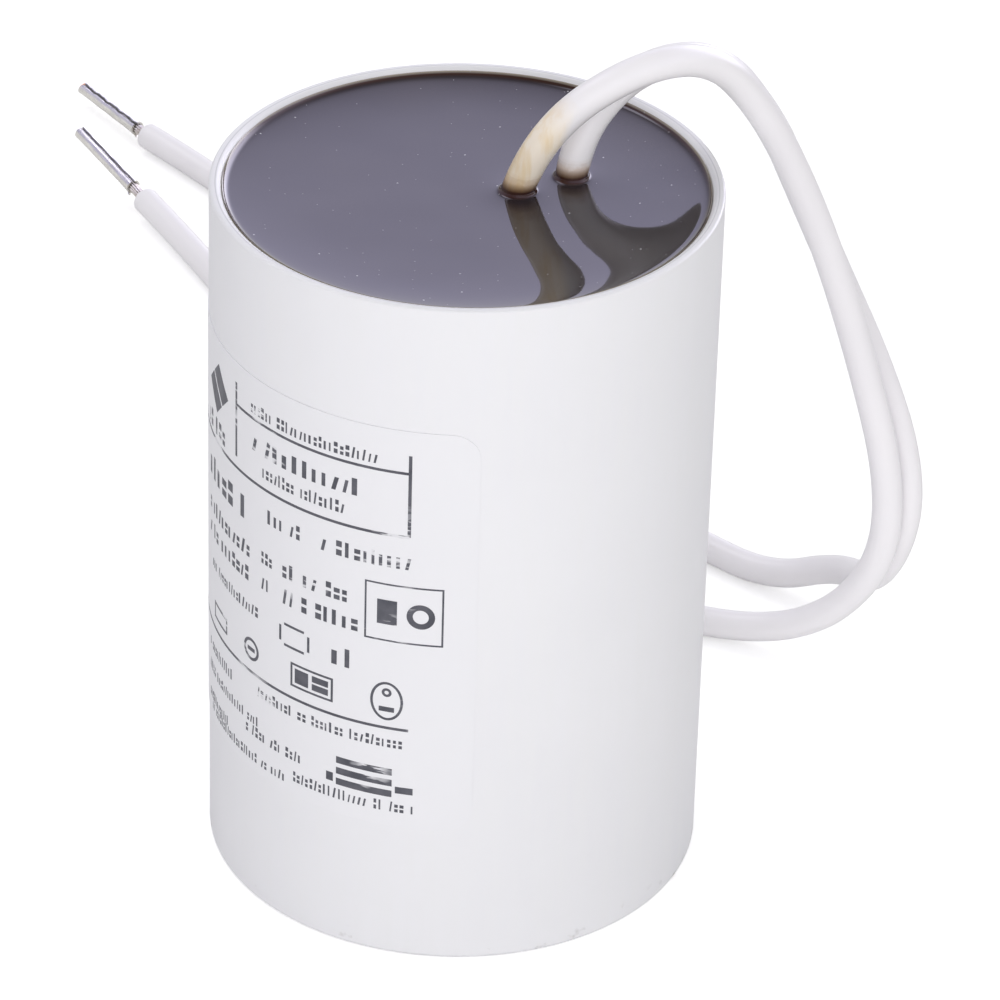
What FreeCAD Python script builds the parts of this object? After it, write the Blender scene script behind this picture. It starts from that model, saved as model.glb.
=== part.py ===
import FreeCAD, Part
import math
import os

from FreeCAD import Vector

# Motor capacitor: a wound film element potted in a moulded plastic can, with
# two insulated leads that come up through the resin. Millimetres, +Z up. The
# origin is the middle of the can's base, and the can is seen from -Y.

# The moulded can.
case_radius = 22.5
case_height = 67.1
case_wall = 1.15
case_floor = 1.6
foot_round = 0.5
floor_round = 1.2
rim_round = 0.25
rim_flat = 0.7
mouth_drop = 0.4
gate_recess_radius = 4.0
gate_recess_depth = 0.4
gate_stub_radius = 0.9
gate_stub_height = 0.25

# Ribs inside the can: tall ones centre the winding, short ones carry it.
rib_count = 4
rib_depth = 1.35
rib_width = 1.4
rib_stop = 11.6
standoff_height = 3.0
standoff_inner = 7.5
rib_turn_deg = 45.0

# The wound element. The resin stands above it by its cover.
element_cover = 10.5
core_radius = 4.0
core_wall = 0.9
wrap_thickness = 0.3
contact_thickness = 0.6
contact_margin = 0.5

# The potting resin, and how it creeps up the can and the leads.
resin_drop = 0.8
wall_creep_height = 0.35
wall_creep_width = 1.3
lead_creep_height = 0.7
lead_creep_width = 0.9

# The printed film label, on the left of the can as it is seen from -Y.
label_width = 60.0
label_height = 41.0
label_low = 14.0
label_thickness = 0.08
label_corner = 2.5
label_edge_deg = 4.5

# The leads: insulated stranded copper.
lead_radius = 1.45
strand_radius = 0.12
strand_ring = 0.46
strand_count = 12
inner_bare_length = 6.0
inner_bend = 1.2
inner_clearance = 0.4
solder_film = 0.15

# The crimped sleeves on the lead ends.
sleeve_length = 11.4
sleeve_wall = 0.2
sleeve_gap_deg = 26.0
sleeve_mouth_drop = 0.35
sleeve_mouth_width_deg = 70.0
burr_length = 0.55
burr_rise = 0.55
burr_thickness = 0.3

# The solder that joins the inner ends to the contact layers.
solder_radius = 1.9
solder_height = 1.7

# Where the sides and levels come out.
case_inner = case_radius - case_wall
wrap_radius = case_inner - rib_depth
film_radius = wrap_radius - wrap_thickness
resin_level = case_height - resin_drop
element_low = case_floor + standoff_height
element_high = resin_level - element_cover
film_low = element_low + contact_thickness
film_high = element_high - contact_thickness
rib_high = film_high - rib_stop
bundle_radius = strand_ring + strand_radius
sleeve_radius = bundle_radius + sleeve_wall

# The leads' routes, from the inner end to the outer one. Each arches over the
# rim, drops beside the can and runs back along the ground. The front lead comes
# up the middle of the winding core, so its first run is held straight.
front_inner_end = Vector(0.0, 0.0, film_low + inner_clearance)
front_route = [
    Vector(0.0, 0.0, element_high - 5.8),
    Vector(3.4, 1.5, case_height - 3.3),
    Vector(7.2, 0.3, case_height + 6.0),
    Vector(14.7, 3.1, case_height + 10.2),
    Vector(21.1, 7.9, case_height + 8.8),
    Vector(25.5, 12.2, case_height + 2.2),
    Vector(29.3, 16.4, case_height * 0.903),
    Vector(33.3, 20.6, case_height * 0.736),
    Vector(37.3, 23.7, case_height * 0.535),
    Vector(40.6, 23.2, case_height * 0.352),
    Vector(40.5, 24.1, case_height * 0.201),
    Vector(35.7, 26.9, case_height * 0.079),
    Vector(28.2, 30.1, 1.6),
    Vector(16.9, 34.6, 1.5),
    Vector(3.1, 43.7, 1.6),
    Vector(-6.6, 53.9, 1.5),
    Vector(-14.1, 67.5, 1.5),
    Vector(-20.6, 83.6, 1.5),
    Vector(-27.6, 99.2, 1.6),
    Vector(-35.5, 113.0, 2.2),
]
rear_inner_end = Vector(9.0, 3.5, element_high + solder_film + 2.0 * bundle_radius + inner_bend)
rear_route = [
    Vector(8.3, 3.3, case_height + 0.6),
    Vector(13.6, 7.0, case_height + 7.7),
    Vector(21.6, 12.2, case_height + 7.2),
    Vector(27.2, 18.8, case_height * 0.954),
    Vector(29.9, 23.6, case_height * 0.832),
    Vector(34.1, 27.7, case_height * 0.663),
    Vector(39.0, 27.7, case_height * 0.502),
    Vector(42.3, 25.9, case_height * 0.368),
    Vector(42.8, 25.8, case_height * 0.244),
    Vector(40.4, 29.1, case_height * 0.121),
    Vector(37.4, 37.1, case_height * 0.073),
    Vector(31.0, 40.0, 1.5),
    Vector(23.5, 46.2, 1.6),
    Vector(12.6, 57.5, 1.6),
    Vector(2.5, 70.0, 1.5),
    Vector(-6.6, 85.0, 1.5),
    Vector(-16.0, 102.0, 1.5),
    Vector(-25.6, 116.6, 1.5),
    Vector(-36.2, 128.4, 1.7),
]

# How each crimped end points: its heading from +X, its rise, and its seam's
# turn away from straight up.
front_end = {"bare": 2.1, "heading": 124.0, "rise": 8.0, "seam": 19.0}
rear_end = {"bare": 1.5, "heading": 126.0, "rise": 1.0, "seam": -3.0}


def vertical(radius, low, high):
    return Part.makeCylinder(radius, high - low, Vector(0, 0, low))


def ring(outer, inner, low, high):
    return vertical(outer, low, high).cut(vertical(inner, low, high))


def revolved(edges):
    """Turns an outline in the XZ plane, closed along the Z axis, into a solid."""
    return Part.Face(Part.Wire(edges)).revolve(Vector(0, 0, 0), Vector(0, 0, 1), 360)


def line(a, b):
    return Part.LineSegment(a, b).toShape()


def polyline(points):
    return [line(a, b) for a, b in zip(points, points[1:])]


def at(r, z):
    return Vector(r, 0, z)


def corner(centre_r, centre_z, radius, start_deg, end_deg):
    """A quarter-round edge in the XZ plane, given by its centre and angles."""
    points = []
    for part in (0.0, 0.5, 1.0):
        angle = math.radians(start_deg + part * (end_deg - start_deg))
        points.append(at(centre_r + radius * math.cos(angle), centre_z + radius * math.sin(angle)))
    return Part.Arc(*points).toShape()


def make_case():
    rim = case_height
    mouth = rim - mouth_drop
    recess_roof = gate_recess_depth
    stub_tip = recess_roof - gate_stub_height
    shell = revolved(
        [
            line(at(0, stub_tip), at(gate_stub_radius, stub_tip)),
            line(at(gate_stub_radius, stub_tip), at(gate_stub_radius, recess_roof)),
            line(at(gate_stub_radius, recess_roof), at(gate_recess_radius, recess_roof)),
            line(at(gate_recess_radius, recess_roof), at(gate_recess_radius, 0)),
            line(at(gate_recess_radius, 0), at(case_radius - foot_round, 0)),
            corner(case_radius - foot_round, foot_round, foot_round, -90, 0),
            line(at(case_radius, foot_round), at(case_radius, rim - rim_round)),
            corner(case_radius - rim_round, rim - rim_round, rim_round, 0, 90),
            line(at(case_radius - rim_round, rim), at(case_radius - rim_flat, rim)),
            line(at(case_radius - rim_flat, rim), at(case_inner, mouth)),
            line(at(case_inner, mouth), at(case_inner, case_floor + floor_round)),
            corner(case_inner - floor_round, case_floor + floor_round, floor_round, 0, -90),
            line(at(case_inner - floor_round, case_floor), at(0, case_floor)),
            line(at(0, case_floor), at(0, stub_tip)),
        ]
    )
    # The centring ribs stop at the film's wrap, and the standoffs carry it. Both
    # run on into the wall and the floor, where they are one with the can.
    outer = case_radius - case_wall / 2
    low = case_floor / 2
    rib_bar = Part.makeBox(
        outer - film_radius,
        rib_width,
        rib_high - low,
        Vector(film_radius, -rib_width / 2, low),
    )
    rib = rib_bar.cut(vertical(wrap_radius, 0, case_height))
    standoff = Part.makeBox(
        outer - standoff_inner,
        rib_width,
        element_low - low,
        Vector(standoff_inner, -rib_width / 2, low),
    )
    solids = []
    for i in range(rib_count):
        angle = rib_turn_deg + i * 360.0 / rib_count
        for shape in (rib, standoff):
            copy = shape.copy()
            copy.rotate(Vector(0, 0, 0), Vector(0, 0, 1), angle)
            solids.append(copy)
    return shell.fuse(solids).removeSplitter()


def make_label():
    """A strip of film bent round the can, with rounded corners."""
    sweep_deg = math.degrees(label_width / case_radius)
    profile = Part.Wire(
        polyline(
            [
                at(case_radius, label_low),
                at(case_radius + label_thickness, label_low),
                at(case_radius + label_thickness, label_low + label_height),
                at(case_radius, label_low + label_height),
                at(case_radius, label_low),
            ]
        )
    )
    # Turned clockwise from its right-hand edge, which is nearly at -Y.
    strip = Part.Face(profile).revolve(Vector(0, 0, 0), Vector(0, 0, -1), sweep_deg)
    strip.rotate(Vector(0, 0, 0), Vector(0, 0, 1), label_edge_deg - 90)
    # Each corner is rounded by a block with a round hole, set square to the can.
    inset_deg = math.degrees(label_corner / case_radius)
    right = label_edge_deg - 90 - inset_deg
    left = label_edge_deg - 90 - sweep_deg + inset_deg
    bottom = label_low + label_corner
    top = label_low + label_height - label_corner
    round_radius = label_corner * 1.01
    for angle, side in ((right, 1), (left, -1)):
        for level, up in ((bottom, -1), (top, 1)):
            size = 2 * label_corner
            block = Part.makeBox(
                4, size, size, Vector(case_radius - 2, min(0, side * size), min(0, up * size))
            )
            hole = Part.makeCylinder(round_radius, 4, Vector(case_radius - 2, 0, 0), Vector(1, 0, 0))
            cutter = block.cut(hole)
            turn = FreeCAD.Rotation(Vector(0, 0, 1), angle)
            cutter.Placement = FreeCAD.Placement(Vector(0, 0, level), turn)
            strip = strip.cut(cutter)
    return strip


def lead_path(points):
    """Straight runs joined by arcs, each as large as its shorter run allows."""
    edges = []
    start = points[0]
    radii = []
    for before, here, after in zip(points, points[1:], points[2:]):
        back = (before - here).normalize()
        ahead = (after - here).normalize()
        turn = math.pi - back.getAngle(ahead)
        reach = 0.45 * min((before - here).Length, (after - here).Length)
        radius = reach / math.tan(turn / 2)
        radii.append(radius)
        enter = here + back * reach
        leave = here + ahead * reach
        inward = (back + ahead).normalize()
        middle = here + inward * (radius / math.cos(turn / 2) - radius)
        edges.append(line(start, enter))
        edges.append(Part.Arc(enter, middle, leave).toShape())
        start = leave
    edges.append(line(start, points[-1]))
    return Part.Wire(edges), radii


def swept(path, start, direction, radius):
    circle = Part.Wire(Part.makeCircle(radius, start, direction))
    return path.makePipeShell([circle], True, False)


def make_lead(name, inner_end, route):
    points = [inner_end] + route
    path, radii = lead_path(points)
    solid = swept(path, points[0], points[1] - points[0], lead_radius)
    ideal = math.pi * lead_radius**2 * path.Length
    print(
        "%s: length %.1f, outside the resin about %.1f, least radius %.1f, volume %.1f against %.1f"
        % (name, path.Length, outside_length(path), min(radii), solid.Volume, ideal)
    )
    print("  radii: " + " ".join("%.1f" % r for r in radii))
    return solid


def outside_length(path):
    """The lead's length from the resin's surface to the end of its insulation."""
    total = 0.0
    for edge in path.Edges:
        points = edge.discretize(12)
        for a, b in zip(points, points[1:]):
            if a.z > resin_level or total > 0:
                total += (b - a).Length
    return total


def make_bundle(length):
    """A bundle of strands along +X from the origin, with the outer ones' outline."""
    step = 360.0 / strand_count
    half_pitch = strand_ring * math.sin(math.radians(step / 2))
    valley = strand_ring * math.cos(math.radians(step / 2))
    valley += math.sqrt(strand_radius**2 - half_pitch**2)
    edges = []
    for i in range(strand_count):
        start, middle, end = [
            crosswise(radius, (i + share) * step)
            for radius, share in ((valley, -0.5), (bundle_radius, 0.0), (valley, 0.5))
        ]
        edges.append(Part.Arc(start, middle, end).toShape())
    return Part.Face(Part.Wire(edges)).extrude(Vector(length, 0, 0))


def crosswise(radius, angle_deg):
    """A point in the YZ plane, by its radius and its angle."""
    angle = math.radians(angle_deg)
    return Vector(0, radius * math.cos(angle), radius * math.sin(angle))


def make_sleeve():
    """An open-barrel sleeve along +X from the origin, with its seam at the top."""
    tube = Part.makeCylinder(sleeve_radius, sleeve_length, Vector(0, 0, 0), Vector(1, 0, 0))
    bore = Part.makeCylinder(bundle_radius, sleeve_length, Vector(0, 0, 0), Vector(1, 0, 0))
    reach = 2 * sleeve_radius
    half = math.radians(sleeve_gap_deg / 2)
    seam = wedge(half, 0, sleeve_length, reach)
    # The seam opens towards the outer end, where the strands show in the mouth.
    mouth = wedge(
        math.radians(sleeve_mouth_width_deg / 2), sleeve_length - sleeve_mouth_drop, sleeve_length, reach
    )
    barrel = tube.cut(bore).cut(seam).cut(mouth)
    # A torn spur bends down from the inner end.
    root = sleeve_wall / 2
    spur = Part.Face(
        Part.makePolygon(
            [
                Vector(root, 0, -bundle_radius - root),
                Vector(0, 0, -bundle_radius),
                Vector(-burr_length, 0, -sleeve_radius - burr_rise),
                Vector(0, 0, -sleeve_radius),
                Vector(root, 0, -bundle_radius - root),
            ]
        )
    ).extrude(Vector(0, burr_thickness, 0))
    spur.translate(Vector(0, -burr_thickness / 2, 0))
    return barrel.fuse(spur).removeSplitter()


def wedge(half_angle, start, end, reach):
    """A wedge with its point on the X axis, opening upwards."""
    spread = reach * math.tan(half_angle)
    face = Part.Face(
        Part.makePolygon(
            [
                Vector(start, 0, 0),
                Vector(start, -spread, reach),
                Vector(start, spread, reach),
                Vector(start, 0, 0),
            ]
        )
    )
    return face.extrude(Vector(end - start, 0, 0))


def end_placement(route, end, along):
    """Puts a piece made along +X on a lead's outer end, `along` mm out from it."""
    level = FreeCAD.Rotation(Vector(0, 0, 1), end["heading"])
    rise = FreeCAD.Rotation(Vector(0, 1, 0), -end["rise"])
    pointed = level.multiply(rise)
    return FreeCAD.Placement(route[-1] + pointed.multVec(Vector(along, 0, 0)), pointed)


def make_outer_end(route, end, lead):
    """The bare strands and the crimped sleeve on one lead."""
    strands = make_bundle(end["bare"] + sleeve_length - sleeve_mouth_drop + lead_radius)
    strands.translate(Vector(-lead_radius, 0, 0))
    strands.Placement = end_placement(route, end, 0).multiply(strands.Placement)
    sleeve = make_sleeve()
    roll = FreeCAD.Placement(Vector(0, 0, 0), FreeCAD.Rotation(Vector(1, 0, 0), end["seam"]))
    sleeve.Placement = end_placement(route, end, end["bare"]).multiply(roll)
    return strands.cut(lead), sleeve


def make_inner_end(start, level, heading, lead):
    """Bare strands that leave the insulation, turn and lie along a contact layer."""
    down = Vector(start.x, start.y, level)
    out = down + heading * inner_bare_length
    back = (start - down).normalize()
    reach = inner_bend
    enter = down + back * reach
    leave = down + heading * reach
    middle = down + (back + heading).normalize() * (reach * (math.sqrt(2) - 1))
    edges = [Part.Arc(enter, middle, leave).toShape(), line(leave, out)]
    if (start - enter).Length > 0.01:
        edges.insert(0, line(start, enter))
    return swept(Part.Wire(edges), start, down - start, bundle_radius).cut(lead), out


def make_solder(place, seat, upwards, strands):
    """A low dome of solder on a contact layer, round the end of the strands."""
    side = 1 if upwards else -1
    dome = Part.makeSphere(solder_radius, Vector(place.x, place.y, seat))
    slab = Part.makeCylinder(
        2 * solder_radius, solder_height, Vector(place.x, place.y, seat), Vector(0, 0, side)
    )
    return dome.common(slab).cut(strands)


def section_middle(lead, level):
    """The middle of a lead where it rises through a level inside the can's mouth."""
    rings = [Part.Face(w).CenterOfMass for w in lead.slice(Vector(0, 0, 1), level)]
    return min(rings, key=lambda middle: math.hypot(middle.x, middle.y))


def creep_collar(lead):
    """Resin drawn up round a lead where it leaves the surface."""
    foot, above = [
        section_middle(lead, level) for level in (resin_level, resin_level + lead_creep_height)
    ]
    axis = (above - foot).normalize()
    below = lead_creep_width
    outer = lead_radius + lead_creep_width
    top = lead_radius + 0.06
    sag = 0.35
    middle_r = top + (outer - top) * sag
    middle_z = lead_creep_height * sag
    collar = revolved(
        [
            line(at(0, -below), at(outer, -below)),
            line(at(outer, -below), at(outer, 0)),
            Part.Arc(at(outer, 0), at(middle_r, middle_z), at(top, lead_creep_height)).toShape(),
            line(at(top, lead_creep_height), at(0, lead_creep_height)),
            line(at(0, lead_creep_height), at(0, -below)),
        ]
    )
    collar.Placement = FreeCAD.Placement(foot, FreeCAD.Rotation(Vector(0, 0, 1), axis))
    return collar


def make_resin(case, inner_pieces, leads, collars):
    """The fill: all the can's room that nothing else takes, with its own skin."""
    edge_r = case_inner - wall_creep_width
    sag = 0.3
    creep = Part.Arc(
        at(edge_r, resin_level),
        at(edge_r + wall_creep_width * (1 - sag), resin_level + wall_creep_height * sag),
        at(case_inner, resin_level + wall_creep_height),
    ).toShape()
    below = case_floor / 2
    fill = revolved(
        [
            line(at(0, below), at(case_inner, below)),
            line(at(case_inner, below), at(case_inner, resin_level + wall_creep_height)),
            creep,
            line(at(edge_r, resin_level), at(0, resin_level)),
            line(at(0, resin_level), at(0, below)),
        ]
    )
    fill = fill.fuse(collars)
    return fill.cut([case] + inner_pieces + leads)


def single(shape):
    """The one solid of a shape."""
    return shape.Solids[0] if len(shape.Solids) == 1 else shape


def build():
    pieces = {}
    pieces["case"] = make_case()
    pieces["label"] = make_label()
    pieces["winding_core"] = ring(core_radius, core_radius - core_wall, film_low, film_high)
    pieces["wound_film"] = ring(film_radius, core_radius, film_low, film_high)
    pieces["film_wrap"] = ring(wrap_radius, film_radius, film_low, film_high)
    contact_radius = film_radius - contact_margin
    pieces["bottom_contact_layer"] = ring(contact_radius, core_radius, element_low, film_low)
    pieces["top_contact_layer"] = ring(contact_radius, core_radius, film_high, element_high)

    front = make_lead("front_lead", front_inner_end, front_route)
    rear = make_lead("rear_lead", rear_inner_end, rear_route)
    pieces["front_lead"] = front
    pieces["rear_lead"] = rear

    pieces["front_lead_inner_strands"], low_end = make_inner_end(
        front_inner_end, element_low - solder_film - bundle_radius, Vector(1, 0, 0), front
    )
    aside = Vector(rear_inner_end.x, rear_inner_end.y, 0).normalize()
    pieces["rear_lead_inner_strands"], high_end = make_inner_end(
        rear_inner_end, element_high + solder_film + bundle_radius, aside, rear
    )
    pieces["bottom_solder_joint"] = make_solder(
        low_end, element_low, False, pieces["front_lead_inner_strands"]
    )
    pieces["top_solder_joint"] = make_solder(
        high_end, element_high, True, pieces["rear_lead_inner_strands"]
    )

    ends = (
        ("front", front_route, front_end, front),
        ("rear", rear_route, rear_end, rear),
    )
    for name, route, end, lead in ends:
        strands, sleeve = make_outer_end(route, end, lead)
        pieces[name + "_lead_strands"] = strands
        pieces[name + "_crimp_sleeve"] = sleeve

    inner = [
        pieces[name]
        for name in (
            "winding_core",
            "wound_film",
            "film_wrap",
            "bottom_contact_layer",
            "top_contact_layer",
            "front_lead_inner_strands",
            "rear_lead_inner_strands",
            "bottom_solder_joint",
            "top_solder_joint",
        )
    ]
    collars = [
        creep_collar(front),
        creep_collar(rear),
    ]
    pieces["potting_resin"] = make_resin(pieces["case"], inner, [front, rear], collars)
    return {name: single(shape) for name, shape in pieces.items()}


os.makedirs("parts", exist_ok=True)
for node, shape in build().items():
    print("%-26s solids %d  volume %9.2f  valid %s" % (node, len(shape.Solids), shape.Volume, shape.isValid()))
    shape.exportStep("parts/" + node + ".step")
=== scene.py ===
import math
import random

import bmesh
import bpy
from mathutils import Matrix, Vector, noise


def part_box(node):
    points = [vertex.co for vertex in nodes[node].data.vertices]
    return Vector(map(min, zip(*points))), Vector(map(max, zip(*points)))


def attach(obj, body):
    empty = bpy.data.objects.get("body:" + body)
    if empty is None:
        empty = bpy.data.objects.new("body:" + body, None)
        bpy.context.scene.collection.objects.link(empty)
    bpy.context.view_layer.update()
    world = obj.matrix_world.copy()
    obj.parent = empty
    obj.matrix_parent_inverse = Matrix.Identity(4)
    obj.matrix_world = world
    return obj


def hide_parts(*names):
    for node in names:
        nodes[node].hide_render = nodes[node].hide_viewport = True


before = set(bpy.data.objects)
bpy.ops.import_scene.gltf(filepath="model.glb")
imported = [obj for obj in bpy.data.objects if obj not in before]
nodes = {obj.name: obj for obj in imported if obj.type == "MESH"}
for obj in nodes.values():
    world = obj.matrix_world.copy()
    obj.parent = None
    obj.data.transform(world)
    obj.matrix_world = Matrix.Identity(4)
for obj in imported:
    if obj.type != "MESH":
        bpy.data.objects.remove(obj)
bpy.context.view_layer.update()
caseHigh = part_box("case")[1]
canRadius = caseHigh.x
canHeight = caseHigh.z
mm = 0.001
print("frame loaded:", len(nodes), "nodes")


def addObject(name, data):
    added = bpy.data.objects.new(name, data)
    bpy.context.scene.collection.objects.link(added)
    return added


# The camera stands where the photograph was taken from.
camera = {
    "place": (0.0, -0.4407, 0.3091),
    "lens": 207.78,
    "pitch": 0.557,
    "yaw": 0.007,
    "roll": 0.025,
}


def addCamera(values):
    data = bpy.data.cameras.new("camera")
    data.lens = values["lens"]
    data.sensor_width = 36.0
    data.clip_start = 0.01
    data.clip_end = 20.0
    pitch, yaw, roll = values["pitch"], values["yaw"], values["roll"]
    ahead = Vector((0, math.cos(pitch), -math.sin(pitch)))
    right = Vector((1, 0, 0))
    up = right.cross(ahead)
    aim = ahead * math.cos(yaw) + right * math.sin(yaw)
    side = right * math.cos(yaw) - ahead * math.sin(yaw)
    rolledSide = side * math.cos(roll) + up * math.sin(roll)
    rolledUp = up * math.cos(roll) - side * math.sin(roll)
    turn = Matrix((rolledSide, rolledUp, -aim)).transposed()
    cam = addObject("camera", data)
    cam.matrix_world = Matrix.Translation(values["place"]) @ turn.to_4x4()
    bpy.context.scene.camera = cam


addCamera(camera)

# The leads follow the same route points as the solids do.
frontLead = {
    "radius": 0.00145,
    "length": 0.236,
    "heading": 124.0,
    "rise": 8.0,
    "bare": 0.0021,
    "seam": -4.0,
    "seamGap": 6.5,
    "seamWave": 0.00002,
    "cutBack": 0.014,
    "seed": 5,
    "route": [
        (0.0, 0.0, 0.0500),
        (0.0034, 0.0015, 0.0638),
        (0.0072, 0.0003, 0.0731),
        (0.0147, 0.0031, 0.0773),
        (0.0211, 0.0079, 0.0759),
        (0.0255, 0.0122, 0.0693),
        (0.0293, 0.0164, 0.0606),
        (0.0333, 0.0206, 0.0494),
        (0.0373, 0.0237, 0.0359),
        (0.0406, 0.0232, 0.0236),
        (0.0405, 0.0241, 0.0135),
        (0.0357, 0.0269, 0.0053),
        (0.0282, 0.0301, 0.0016),
        (0.0169, 0.0346, 0.0015),
        (0.0031, 0.0437, 0.0016),
        (-0.0066, 0.0539, 0.0015),
        (-0.0141, 0.0675, 0.0015),
        (-0.0206, 0.0836, 0.0015),
        (-0.0276, 0.0992, 0.0016),
        (-0.0351, 0.11225, 0.00216),
    ],
    "tip": (-0.0355, 0.1130, 0.0022),
}
rearLead = {
    "radius": 0.00145,
    "length": 0.228,
    "heading": 126.0,
    "rise": 1.0,
    "bare": 0.0015,
    "seam": -22.0,
    "seamGap": 3.5,
    "seamWave": 0.00007,
    "cutBack": 0.06,
    "seed": 11,
    "route": [
        (0.0090, 0.0035, 0.05831),
        (0.0083, 0.0033, 0.0677),
        (0.0136, 0.0070, 0.0748),
        (0.0216, 0.0122, 0.0743),
        (0.0272, 0.0188, 0.0640),
        (0.0299, 0.0236, 0.0558),
        (0.0341, 0.0277, 0.0445),
        (0.0390, 0.0277, 0.0337),
        (0.0423, 0.0259, 0.0247),
        (0.0428, 0.0258, 0.0164),
        (0.0404, 0.0291, 0.0081),
        (0.0374, 0.0371, 0.0049),
        (0.0310, 0.0400, 0.0015),
        (0.0235, 0.0462, 0.0016),
        (0.0126, 0.0575, 0.0016),
        (0.0025, 0.0700, 0.0015),
        (-0.0066, 0.0850, 0.0015),
        (-0.0160, 0.1020, 0.0015),
        (-0.0256, 0.1166, 0.0015),
        (-0.0358, 0.12795, 0.0017),
    ],
    "tip": (-0.0362, 0.1284, 0.0017),
}


def addLead(name, values):
    curve = bpy.data.curves.new(name, "CURVE")
    curve.dimensions = "3D"
    curve.bevel_depth = 1.0  # times each point's radius
    curve.bevel_resolution = 10
    curve.resolution_u = 16
    curve.use_fill_caps = True
    spline = curve.splines.new("NURBS")
    spline.points.add(len(values["route"]) - 1)
    for point, place in zip(spline.points, values["route"]):
        point.co = (*place, 1.0)
        point.radius = values["radius"]
    spline.order_u = 3
    spline.use_endpoint_u = True
    lead = addObject(name, curve)
    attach(lead, "root")
    return lead


def centreLine(lead):
    plain = lead.data.copy()
    plain.bevel_depth = 0.0
    plain.use_fill_caps = False
    plain.resolution_u = 40
    holder = bpy.data.objects.new("centreLine", plain)
    mesh = bpy.data.meshes.new_from_object(holder)
    points = [vert.co.copy() for vert in mesh.vertices]
    bpy.data.meshes.remove(mesh)
    bpy.data.objects.remove(holder)
    return points


frontCord = addLead("frontCord", frontLead)
rearCord = addLead("rearCord", rearLead)
print("leads laid")


# Helpers for the finishes.
def newMaterial(name, values):
    material = bpy.data.materials.new(name)
    material.use_nodes = True
    shader = material.node_tree.nodes["Principled BSDF"]
    for socket, value in values.items():
        shader.inputs[socket].default_value = value
    return material


def shaderOf(material):
    return material.node_tree.nodes["Principled BSDF"]


def addNode(owner, kind, inputs=None, **settings):
    # The owner is a material or the world. An input is a number, three numbers
    # or the output of another node, which is linked to it.
    tree = owner.node_tree
    node = tree.nodes.new(kind)
    for name, value in settings.items():
        setattr(node, name, value)
    for key, value in (inputs or {}).items():
        socket = node.inputs[key]
        if isinstance(value, bpy.types.NodeSocket):
            tree.links.new(value, socket)
        else:
            socket.default_value = (*value, 1.0) if socket.type == "RGBA" else value
    return node


def coordinates(owner, kind="Object"):
    return addNode(owner, "ShaderNodeTexCoord").outputs[kind]


def place(material, stretch=(1, 1, 1), shift=(0, 0, 0)):
    inputs = {"Vector": coordinates(material), "Scale": stretch, "Location": shift}
    return addNode(material, "ShaderNodeMapping", inputs).outputs["Vector"]


def noiseMask(material, where, scale, low, high, detail=3.0):
    inputs = {"Vector": where, "Scale": scale, "Detail": detail}
    grain = addNode(material, "ShaderNodeTexNoise", inputs)
    return ranged(material, grain.outputs["Fac"], low, high)


def dotMask(material, where, scale, size, share, space="3D"):
    # Scattered dots: near a cell's point, and only in some of the cells.
    inputs = {"Vector": where, "Scale": scale}
    cells = addNode(material, "ShaderNodeTexVoronoi", inputs, voronoi_dimensions=space)
    near = ranged(material, cells.outputs["Distance"], size, size * 0.5)
    split = addNode(material, "ShaderNodeSeparateColor", {"Color": cells.outputs["Color"]})
    chosen = ranged(material, split.outputs["Red"], 1.0 - share, 1.0 - share + 0.01)
    return combine(material, near, chosen, "MULTIPLY")


def ranged(owner, value, low, high, toLow=0.0, toHigh=1.0, ease="LINEAR"):
    inputs = {
        "Value": value,
        "From Min": low,
        "From Max": high,
        "To Min": toLow,
        "To Max": toHigh,
    }
    limits = addNode(owner, "ShaderNodeMapRange", inputs, interpolation_type=ease)
    return limits.outputs["Result"]


def combine(owner, first, second, how, clamp=True):
    inputs = {0: first, 1: second}
    maths = addNode(owner, "ShaderNodeMath", inputs, operation=how, use_clamp=clamp)
    return maths.outputs["Value"]


def along(owner, axis, kind="Object"):
    split = addNode(owner, "ShaderNodeSeparateXYZ", {"Vector": coordinates(owner, kind)})
    return split.outputs[axis]


def awayFrom(owner, point, kind="Object"):
    inputs = {0: coordinates(owner, kind), 1: point}
    gap = addNode(owner, "ShaderNodeVectorMath", inputs, operation="DISTANCE")
    return gap.outputs["Value"]


def fromAxis(material):
    # How far a point is from Z.
    inputs = {0: place(material, (1, 1, 0))}
    length = addNode(material, "ShaderNodeVectorMath", inputs, operation="LENGTH")
    return length.outputs["Value"]


def attribute(material, name):
    return addNode(material, "ShaderNodeAttribute", attribute_name=name).outputs["Fac"]


def mixColour(owner, mask, first, second):
    inputs = {"Factor": mask, 6: first, 7: second}
    return addNode(owner, "ShaderNodeMix", inputs, data_type="RGBA").outputs[2]


def setColour(material, colour):
    material.node_tree.links.new(colour, shaderOf(material).inputs["Base Color"])


def setRoughness(material, mask, low, high):
    wanted = ranged(material, mask, 0.0, 1.0, low, high)
    material.node_tree.links.new(wanted, shaderOf(material).inputs["Roughness"])


def addBump(material, height, distance, strength=1.0):
    # Each new bump is laid over the one before it.
    normal = shaderOf(material).inputs["Normal"]
    inputs = {"Distance": distance, "Strength": strength, "Height": height}
    if normal.is_linked:
        inputs["Normal"] = normal.links[0].from_socket
    bump = addNode(material, "ShaderNodeBump", inputs)
    material.node_tree.links.new(bump.outputs["Normal"], normal)


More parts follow.
